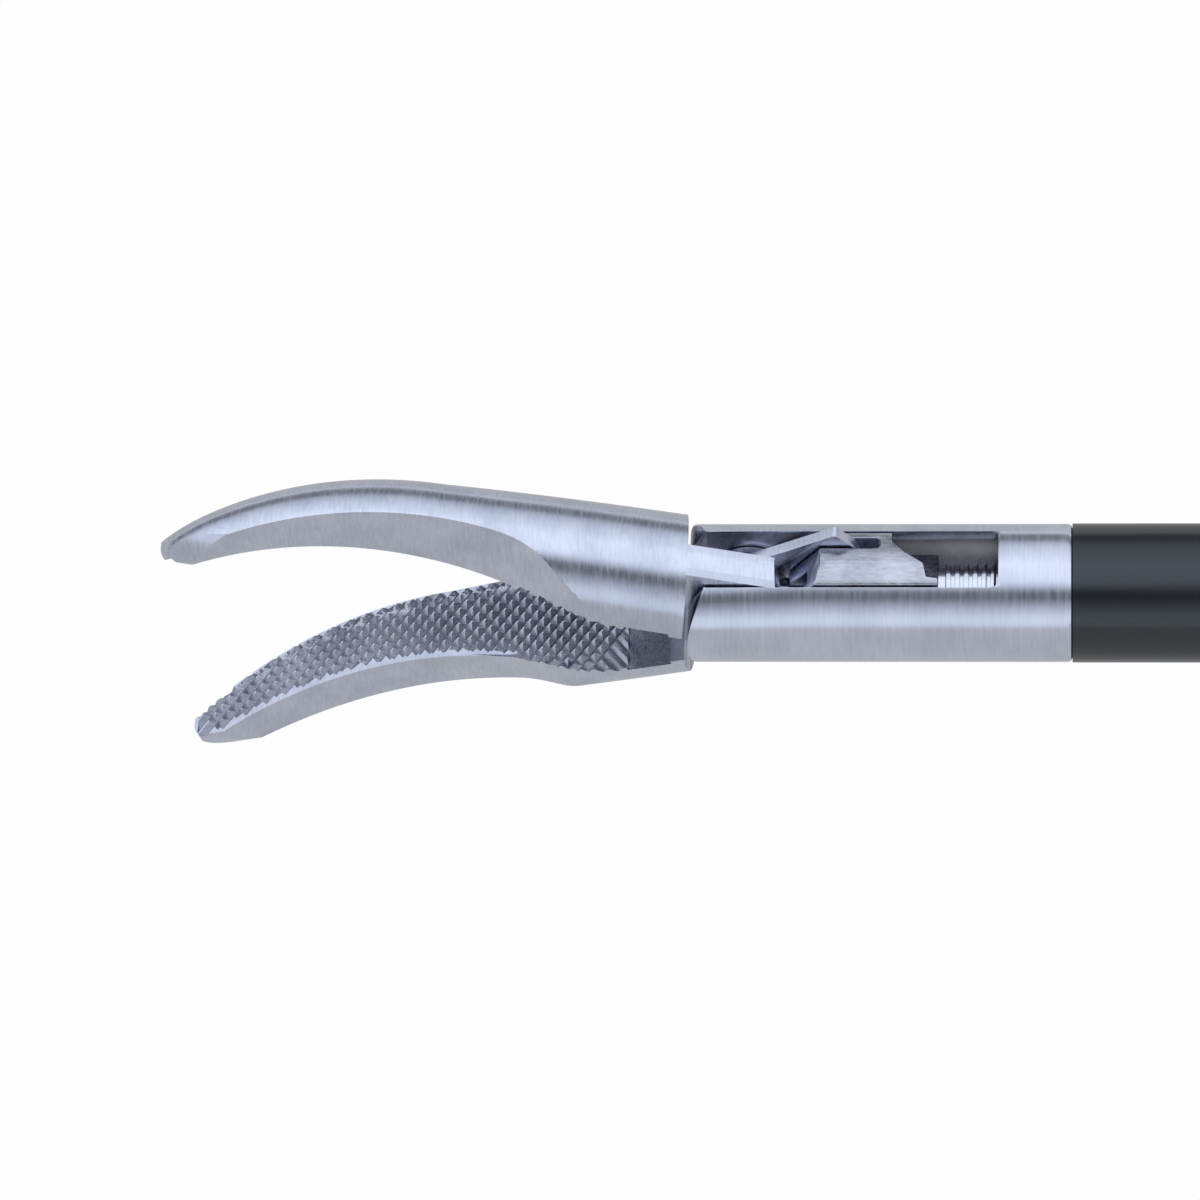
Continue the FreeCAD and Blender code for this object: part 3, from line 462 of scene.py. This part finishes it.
def blade():
    # The upper blade, closed, in the order of the work: forged, hollow ground, turned to the
    # shaft's circle, cut off at the root and nose, and relieved behind the teeth before the
    # grooves are cut.
    floor = mating_gap / 2
    relief = 0.15
    relief_end = root_reach + 0.5
    tip_rim = 0.15
    grooves_from = 4.57
    bm = sliced(forged_blank(), (0, 0, floor), (0, 0, -1))
    bm = machined(bm, grinding_wheel())
    bm = machined(bm, rod(back_radius, -30, 30, 256), "INTERSECT")
    bm = sliced(bm, (-root_reach, 0, 0), (cos(root_lean), 0, sin(root_lean)))
    bm = machined(bm, nose_template(), "INTERSECT")
    bm = machined(bm, bar(-teeth_from, -relief_end, -beyond, beyond, -1, floor + relief))
    toothed = bar(tip_rim - jaw_length, -grooves_from, -beyond, beyond, -beyond, beyond)
    for lean, depth in ((1, 0.18), (-1, 0.15)):
        cutters = machined(groove_set(lean, depth), toothed.copy(), "INTERSECT")
        bm = machined(bm, cutters)
    toothed.free()
    return bm


def copied(node):
    # A solid's mesh with its doubles merged.
    bm = bmesh.new()
    bm.from_mesh(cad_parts[node].data)
    bmesh.ops.remove_doubles(bm, verts=bm.verts, dist=merge_distance)
    return bm


def tail_half(node, side):
    # Hub and tail come from the solid, from just inside the blade's root backwards.
    turn = Matrix.Rotation(side * open_angle, 3, "Y")
    through = pivot + turn @ Vector((-root_reach - 0.02, 0, 0)) * millimetre
    blade_side = turn @ Vector((-cos(root_lean), 0, -side * sin(root_lean)))
    return sliced(copied(node), through, blade_side)


def effect_group(name, takes, gives):
    # An empty shader node group with named sockets.
    group = bpy.data.node_groups.new(name, "ShaderNodeTree")
    for label, kind, value in takes:
        socket = group.interface.new_socket(name=label, in_out="INPUT", socket_type=kind)
        socket.default_value = value
    for label, kind in gives:
        group.interface.new_socket(name=label, in_out="OUTPUT", socket_type=kind)
    return group, group.nodes.new("NodeGroupInput"), group.nodes.new("NodeGroupOutput")


# Ground metal: fine streaks along one direction over a soft mottle.
ground_grain, grain_in, grain_out = effect_group(
    "ground_grain",
    [("Vector", "NodeSocketVector", (0, 0, 0)), ("Along", "NodeSocketVector", (1, 1, 1)),
     ("Fineness", "NodeSocketFloat", 9000), ("Light", "NodeSocketColor", (0.8, 0.8, 0.8, 1)),
     ("Dark", "NodeSocketColor", (0.6, 0.6, 0.6, 1))],
    [("Streaks", "NodeSocketFloat"), ("Color", "NodeSocketColor")])
stretched = ground_grain.nodes.new("ShaderNodeVectorMath")
stretched.operation = "MULTIPLY"
ground_grain.links.new(grain_in.outputs["Vector"], stretched.inputs[0])
ground_grain.links.new(grain_in.outputs["Along"], stretched.inputs[1])
streaks = ground_grain.nodes.new("ShaderNodeTexNoise")
streaks.inputs["Detail"].default_value = 3
streaks.inputs["Roughness"].default_value = 0.6
ground_grain.links.new(stretched.outputs[0], streaks.inputs["Vector"])
ground_grain.links.new(grain_in.outputs["Fineness"], streaks.inputs["Scale"])
mottle = ground_grain.nodes.new("ShaderNodeTexNoise")
mottle.inputs["Scale"].default_value = 700
mottle.inputs["Detail"].default_value = 4
ground_grain.links.new(grain_in.outputs["Vector"], mottle.inputs["Vector"])
spread = ground_grain.nodes.new("ShaderNodeMapRange")
spread.inputs["From Min"].default_value = 0.75
spread.inputs["From Max"].default_value = 1.25
both = reckoned(ground_grain, "ADD", streaks.outputs["Fac"], mottle.outputs["Fac"])
ground_grain.links.new(both, spread.inputs["Value"])
toned = ground_grain.nodes.new("ShaderNodeMix")
toned.data_type = "RGBA"
ground_grain.links.new(spread.outputs["Result"], toned.inputs["Factor"])
ground_grain.links.new(grain_in.outputs["Dark"], toned.inputs["A"])
ground_grain.links.new(grain_in.outputs["Light"], toned.inputs["B"])
ground_grain.links.new(streaks.outputs["Fac"], grain_out.inputs["Streaks"])
ground_grain.links.new(toned.outputs["Result"], grain_out.inputs["Color"])


def satin_metal(name, light, dark, along, fineness, smooth, rough, scratch):
    # Roughness runs between smooth and rough with the streaks. Scratch is their depth in metres.
    metal = bpy.data.materials.new(name)
    metal.use_nodes = True
    nodes = metal.node_tree.nodes
    links = metal.node_tree.links
    shader = nodes["Principled BSDF"]
    shader.inputs["Metallic"].default_value = 1
    place = nodes.new("ShaderNodeTexCoord")
    grain = nodes.new("ShaderNodeGroup")
    grain.node_tree = ground_grain
    grain.inputs["Along"].default_value = along
    grain.inputs["Fineness"].default_value = fineness
    grain.inputs["Light"].default_value = light + (1,)
    grain.inputs["Dark"].default_value = dark + (1,)
    links.new(place.outputs["Object"], grain.inputs["Vector"])
    links.new(grain.outputs["Color"], shader.inputs["Base Color"])
    polish = nodes.new("ShaderNodeMapRange")
    polish.inputs["From Min"].default_value = 0.3
    polish.inputs["From Max"].default_value = 0.7
    polish.inputs["To Min"].default_value = smooth
    polish.inputs["To Max"].default_value = rough
    links.new(grain.outputs["Streaks"], polish.inputs["Value"])
    links.new(polish.outputs["Result"], shader.inputs["Roughness"])
    lines = nodes.new("ShaderNodeBump")
    lines.inputs["Distance"].default_value = scratch
    links.new(grain.outputs["Streaks"], lines.inputs["Height"])
    links.new(lines.outputs["Normal"], shader.inputs["Normal"])
    return metal


jaw_satin = satin_metal("jaw_satin", light=(0.79, 0.83, 0.96), dark=(0.61, 0.65, 0.77),
                        along=(1, 0.15, 0.15), fineness=11000,
                        smooth=0.18, rough=0.29, scratch=0.0000045)
# Darker steel for the teeth and the relief behind them: partly their duller milled finish, partly
# painted shade and reflection of the gap between the jaws.
tooth_satin_and_shade = satin_metal("tooth_satin_and_shade", light=(0.58, 0.6, 0.68), dark=(0.4, 0.42, 0.49),
                          along=(1, 1, 0.3), fineness=9000,
                          smooth=0.22, rough=0.36, scratch=0.000006)
tooth_room = 0.25
closed_blade = blade()
closed_blade.normal_update()
# Faces on the mating side, the teeth and the relief, take the darker steel, which partly paints the
# shade between the jaws.
for face in closed_blade.faces:
    height = face.calc_center_median().z - mating_gap / 2
    if face.normal.z < -0.2 and 0.01 < height < tooth_room:
        face.material_index = 1
for node, side in (("upper_jaw", 1), ("lower_jaw", -1)):
    bm = closed_blade.copy()
    if side < 0:
        bmesh.ops.scale(bm, vec=(1, 1, -1), verts=bm.verts)
        bmesh.ops.reverse_faces(bm, faces=bm.faces)
    bmesh.ops.rotate(bm, matrix=Matrix.Rotation(side * open_angle, 3, "Y"), verts=bm.verts)
    bmesh.ops.scale(bm, vec=(millimetre,) * 3, verts=bm.verts)
    bmesh.ops.translate(bm, vec=pivot, verts=bm.verts)
    piece = smooth_object(joined(bm, tail_half(node, side)), node + "_piece", jaw_crease)
    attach(piece, node)
    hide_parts(node)
    piece.data.materials.append(jaw_satin)
    piece.data.materials.append(tooth_satin_and_shade)
closed_blade.free()


# The clevis housing and its pin. The housing is turned from stainless bar, slotted for the jaws,
# rounded at its two arms and bored behind. The pivot pin is pressed through both arms and ground
# flush, then everything is brushed round the axis.
housing_radius = 2.48
housing_rear = 11.6
arm_radius = 3.9
arm_reach = 2.2
arm_shoulder = 1.75
slot_half = 1.2
slot_end = 8.95
slot_corner = 0.25
bore_front = 4.9
bore_rear = 10.8
bore_radius = 2.05
rod_hole = 1.1
spigot_radius = 1.7
spigot_rear = 17.6
edge_break = 0.05
rear_break = 0.15


def eased(bm, wanted, width, segments=2):
    # Breaks the sharp edges that pass the test.
    bm.normal_update()
    edges = [e for e in bm.edges
             if e.is_manifold and e.calc_face_angle(0) > radians(30) and wanted(e)]
    bmesh.ops.bevel(bm, geom=edges, offset=width, offset_type="OFFSET", affect="EDGES",
                    segments=segments, profile=0.5, material=-1, clamp_overlap=False)
    return bm


def every_edge(edge):
    return True


def middle_of(edge):
    return (edge.verts[0].co + edge.verts[1].co) / 2


def ringed(bm, places):
    # Cuts rings round a bar, so that its long faces shade evenly.
    for place in places:
        bmesh.ops.bisect_plane(bm, geom=bm.verts[:] + bm.edges[:] + bm.faces[:],
                               plane_co=(place, 0, 0), plane_no=(1, 0, 0))
    return bm


def arm_template():
    # The arms' round ends, seen from the side, with a long block behind.
    rear = 20
    width = 8
    centre = Vector((arm_radius - arm_reach, 0, 0))
    bm = bmesh.new()
    first = bmesh.ops.create_vert(bm, co=centre + Vector((0, 0, arm_radius)))["vert"][0]
    last = swept(bm, first, centre, -pi, 64, axis=(0, 1, 0))
    last = drawn(bm, last, (rear, 0, -arm_radius))
    last = drawn(bm, last, (rear, 0, arm_radius))
    bm.edges.new((last, first))
    bm = thickened(bm, (0, width, 0))
    bmesh.ops.translate(bm, vec=(0, -width / 2, 0), verts=bm.verts)
    return bm


def placed(bm, name, body, material):
    # Sends a piece from the bench to its place on the pivot.
    bmesh.ops.scale(bm, vec=(millimetre,) * 3, verts=bm.verts)
    bmesh.ops.translate(bm, vec=pivot, verts=bm.verts)
    piece = smooth_object(bm, name)
    piece.data.materials.append(material)
    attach(piece, body)
    return piece


def dressed(node, material):
    # A solid that is kept as it is gets its finish.
    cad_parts[node].material_slots[0].material = material


housing_satin = satin_metal("housing_satin", light=(0.81, 0.85, 0.98), dark=(0.68, 0.72, 0.84),
                            along=(1, 0.1, 0.1), fineness=9000,
                            smooth=0.17, rough=0.27, scratch=0.000003)
# Darker steel for the slot walls and the bore: partly a duller milled finish, partly painted shade
# inside the recess.
milled_dull_and_shade = satin_metal("milled_dull_and_shade", light=(0.5, 0.5, 0.56), dark=(0.32, 0.32, 0.37),
                          along=(1, 0.2, 1), fineness=6000,
                          smooth=0.3, rough=0.45, scratch=0.000006)
bm = ringed(rod(housing_radius, -5, housing_rear, 256),
            (arm_shoulder, slot_end - slot_corner - 0.1, slot_end + 0.1, housing_rear - 0.4))
bm = machined(bm, arm_template(), "INTERSECT")
slot = bar(-beyond, slot_end, -slot_half, slot_half, -beyond, beyond)
slot = eased(slot, lambda e: middle_of(e).x > slot_end - 0.01 and abs(middle_of(e).z) < 1,
             slot_corner, 5)
bm = machined(bm, slot)
bm = eased(bm, lambda e: middle_of(e).x < housing_rear - 0.01, edge_break)
bm = eased(bm, lambda e: middle_of(e).x > housing_rear - 0.01, rear_break)
bm = machined(bm, rod(bore_radius, bore_front, bore_rear, 96))
bm = machined(bm, rod(rod_hole, bore_front, housing_rear + 1, 64))
# Faces inside the slot and the bore take the darker steel, which partly paints the shade there.
for face in bm.faces:
    if face.calc_center_median().yz.length < housing_radius * 0.93:
        face.material_index = 1
spigot = machined(rod(spigot_radius, housing_rear - 0.1, spigot_rear, 96),
                  rod(rod_hole, housing_rear - 1, spigot_rear + 1, 64))
housing = placed(joined(bm, spigot), "housing_piece", "shaft", housing_satin)
housing.data.materials.append(milled_dull_and_shade)
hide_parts("jaw_housing")
dressed("jaw_pivot_pin", housing_satin)


# The drive block, its cam pin and the pull rod. The block is milled from bar, with a slit for each
# tail and a stair at its rear. The cam pin is drawn wire. The pull rod is drawn bar with a ball on
# its far end, and the ridges that it was gripped by where it is screwed into the block.
ridge_count = 6
ridge_pitch = 0.32
ridge_width = 0.7
ridge_start = 7.05
ridge_proud = 0.08
ridge_round = 0.07
rod_radius = 1.0


def softened(node, width, segments=2):
    # A copy of a solid with its flat faces whole and its sharp edges broken.
    bm = copied(node)
    bmesh.ops.dissolve_limit(bm, angle_limit=radians(0.6), verts=bm.verts, edges=bm.edges,
                             use_dissolve_boundaries=False)
    return eased(bm, every_edge, width, segments)


def stand_in(bm, node, body, material):
    # A finished copy takes the node's place.
    piece = smooth_object(bm, node + "_piece")
    piece.data.materials.append(material)
    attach(piece, body)
    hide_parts(node)
    return piece


block_satin = satin_metal("block_satin", light=(0.7, 0.72, 0.8), dark=(0.42, 0.44, 0.51),
                          along=(0.3, 1, 0.3), fineness=9000,
                          smooth=0.22, rough=0.36, scratch=0.000006)
bright_wire = satin_metal("bright_wire", light=(0.82, 0.85, 0.93), dark=(0.76, 0.79, 0.88),
                          along=(0.05, 1, 1), fineness=9000,
                          smooth=0.1, rough=0.18, scratch=0.0000008)
stand_in(softened("rod_head", 0.00004), "rod_head", "pull_rod", block_satin)
stand_in(softened("cam_pin", 0.00006), "cam_pin", "pull_rod", bright_wire)
dressed("pull_rod", bright_wire)
ridges = bmesh.new()
for i in range(ridge_count):
    start = ridge_start + i * ridge_pitch
    ring = rod(rod_radius + ridge_proud, start, start + ridge_pitch * ridge_width, 64)
    joined(ridges, eased(ring, every_edge, ridge_round, 3))
placed(ridges, "rod_ridges", "pull_rod", bright_wire)


# The shaft: a steel tube under an insulating sleeve, with three guides for the rod inside. The
# sleeve is shrunk on, semi-gloss black, and shows faint draw lines along it. The guides are turned
# from white polymer.
sleeve_radius = 2.5
tube_radius = 2.2
sleeve_rear = 308.5
sleeve_break = 0.03

# Moulded or drawn polymer: a fine skin for the relief and broad patches for the gloss.
moulded_skin, skin_in, skin_out = effect_group(
    "moulded_skin",
    [("Vector", "NodeSocketVector", (0, 0, 0)), ("Along", "NodeSocketVector", (1, 1, 1)),
     ("Fineness", "NodeSocketFloat", 3000), ("Light", "NodeSocketColor", (0.05, 0.05, 0.05, 1)),
     ("Dark", "NodeSocketColor", (0.03, 0.03, 0.03, 1))],
    [("Skin", "NodeSocketFloat"), ("Patches", "NodeSocketFloat"), ("Color", "NodeSocketColor")])
stretched = moulded_skin.nodes.new("ShaderNodeVectorMath")
stretched.operation = "MULTIPLY"
moulded_skin.links.new(skin_in.outputs["Vector"], stretched.inputs[0])
moulded_skin.links.new(skin_in.outputs["Along"], stretched.inputs[1])
fine = moulded_skin.nodes.new("ShaderNodeTexNoise")
fine.inputs["Detail"].default_value = 2
moulded_skin.links.new(stretched.outputs[0], fine.inputs["Vector"])
moulded_skin.links.new(skin_in.outputs["Fineness"], fine.inputs["Scale"])
broad = moulded_skin.nodes.new("ShaderNodeTexNoise")
broad.inputs["Scale"].default_value = 90
broad.inputs["Detail"].default_value = 3
moulded_skin.links.new(skin_in.outputs["Vector"], broad.inputs["Vector"])
tone = moulded_skin.nodes.new("ShaderNodeMix")
tone.data_type = "RGBA"
moulded_skin.links.new(broad.outputs["Fac"], tone.inputs["Factor"])
moulded_skin.links.new(skin_in.outputs["Dark"], tone.inputs["A"])
moulded_skin.links.new(skin_in.outputs["Light"], tone.inputs["B"])
moulded_skin.links.new(fine.outputs["Fac"], skin_out.inputs["Skin"])
moulded_skin.links.new(broad.outputs["Fac"], skin_out.inputs["Patches"])
moulded_skin.links.new(tone.outputs["Result"], skin_out.inputs["Color"])


def polymer(name, light, dark, along, fineness, smooth, rough, relief, gloss=0.5):
    # Roughness runs between smooth and rough in broad patches. Relief is the skin's depth in
    # metres.
    plastic = bpy.data.materials.new(name)
    plastic.use_nodes = True
    nodes = plastic.node_tree.nodes
    links = plastic.node_tree.links
    shader = nodes["Principled BSDF"]
    shader.inputs["Specular IOR Level"].default_value = gloss
    place = nodes.new("ShaderNodeTexCoord")
    skin = nodes.new("ShaderNodeGroup")
    skin.node_tree = moulded_skin
    skin.inputs["Along"].default_value = along
    skin.inputs["Fineness"].default_value = fineness
    skin.inputs["Light"].default_value = light + (1,)
    skin.inputs["Dark"].default_value = dark + (1,)
    links.new(place.outputs["Object"], skin.inputs["Vector"])
    links.new(skin.outputs["Color"], shader.inputs["Base Color"])
    handled = nodes.new("ShaderNodeMapRange")
    handled.inputs["From Min"].default_value = 0.35
    handled.inputs["From Max"].default_value = 0.65
    handled.inputs["To Min"].default_value = smooth
    handled.inputs["To Max"].default_value = rough
    links.new(skin.outputs["Patches"], handled.inputs["Value"])
    links.new(handled.outputs["Result"], shader.inputs["Roughness"])
    surface = nodes.new("ShaderNodeBump")
    surface.inputs["Distance"].default_value = relief
    links.new(skin.outputs["Skin"], surface.inputs["Height"])
    links.new(surface.outputs["Normal"], shader.inputs["Normal"])
    return plastic


sleeve_black = polymer("sleeve_black", light=(0.0075, 0.0075, 0.0095),
                       dark=(0.0055, 0.0055, 0.0075), along=(0.12, 1, 1), fineness=3500,
                       smooth=0.2, rough=0.25, relief=0.000002, gloss=1.0)
sleeve_shader = sleeve_black.node_tree.nodes["Principled BSDF"]
sleeve_shader.inputs["Specular Tint"].default_value = (0.85, 0.9, 1, 1)
guide_white = polymer("guide_white", light=(0.86, 0.85, 0.81), dark=(0.8, 0.79, 0.75),
                      along=(1, 0.1, 0.1), fineness=6000,
                      smooth=0.42, rough=0.55, relief=0.000003)
tube_bright = satin_metal("tube_bright", light=(0.76, 0.79, 0.88), dark=(0.7, 0.73, 0.82),
                          along=(0.05, 1, 1), fineness=7000,
                          smooth=0.16, rough=0.28, scratch=0.0000015)
dressed("shaft_tube", tube_bright)
sleeve = ringed(rod(sleeve_radius, housing_rear, sleeve_rear, 256), (40, 100, 160, 220, 280))
sleeve = machined(sleeve, rod(tube_radius, housing_rear - 1, sleeve_rear + 1))
sleeve = eased(sleeve, every_edge, sleeve_break)
sleeve = placed(sleeve, "sleeve_piece", "shaft", sleeve_black)
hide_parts("insulation_sleeve")
dressed("rod_guides", guide_white)


# The collar on the tube's rear end, with the rod's seal in it and the open clip that holds it in
# the handle. The collar is turned, the clip is stamped spring steel, the seal is silicone.
turned_steel = satin_metal("turned_steel", light=(0.74, 0.77, 0.84), dark=(0.66, 0.69, 0.76),
                           along=(1, 0.05, 0.05), fineness=8000,
                           smooth=0.2, rough=0.34, scratch=0.000002)
spring_steel = satin_metal("spring_steel", light=(0.62, 0.63, 0.68), dark=(0.5, 0.51, 0.56),
                           along=(1, 1, 0.2), fineness=5000,
                           smooth=0.22, rough=0.36, scratch=0.000002)
seal_silicone = polymer("seal_silicone", light=(0.1, 0.1, 0.11), dark=(0.08, 0.08, 0.09),
                        along=(1, 1, 1), fineness=5000,
                        smooth=0.45, rough=0.6, relief=0.000004)
dressed("tube_collar", turned_steel)
dressed("rod_seal", seal_silicone)
dressed("retaining_clip", spring_steel)


# The knob that turns the shaft, moulded in black with eight flutes, its grub screw, and the ball
# and spring that click in the dimples of its rear face.
knob_black = polymer("knob_black", light=(0.034, 0.035, 0.039), dark=(0.026, 0.027, 0.03),
                     along=(1, 1, 1), fineness=3200,
                     smooth=0.36, rough=0.5, relief=0.000012)
stand_in(softened("rotation_knob", 0.0003, 3), "rotation_knob", "shaft", knob_black)
dressed("knob_grub_screw", spring_steel)
dressed("detent_ball", bright_wire)
dressed("detent_spring", spring_steel)


# The handle: two halves moulded in black polymer, with the finger ring below. They meet in the
# middle plane, round the collar and the lever, and three socket screws of stainless close them.
handle_black = polymer("handle_black", light=(0.038, 0.039, 0.044), dark=(0.03, 0.031, 0.035),
                       along=(1, 1, 1), fineness=2600,
                       smooth=0.4, rough=0.54, relief=0.000014)
for node in ("handle_shell_left", "handle_shell_right"):
    dressed(node, handle_black)
stand_in(softened("handle_screws", 0.00012), "handle_screws", "handle", turned_steel)


# The thumb lever, moulded like the handle, with the thumb ring at its end and the fork that pulls
# the rod's ball. It turns on a plain steel pin between the two halves.
lever_black = polymer("lever_black", light=(0.038, 0.039, 0.044), dark=(0.03, 0.031, 0.035),
                      along=(1, 1, 1), fineness=2600,
                      smooth=0.38, rough=0.5, relief=0.000014)
thumb_lever = softened("thumb_lever", 0.00025, 3)
stand_in(thumb_lever, "thumb_lever", "thumb_lever", lever_black)
dressed("lever_pivot", turned_steel)


# The ratchet: a curved rack, stamped and hardened, that is held in the lever, and the pawl with
# its release tab, which swings on a turned pin in the handle.
dressed("ratchet_rack", spring_steel)
dressed("pawl_pin", turned_steel)
dressed("ratchet_pawl", spring_steel)


# The plug post for the high-frequency cable, turned and polished, and the leaf of spring steel
# that carries the current from it to the rod.
dressed("electrode_post", turned_steel)
dressed("contact_spring", spring_steel)
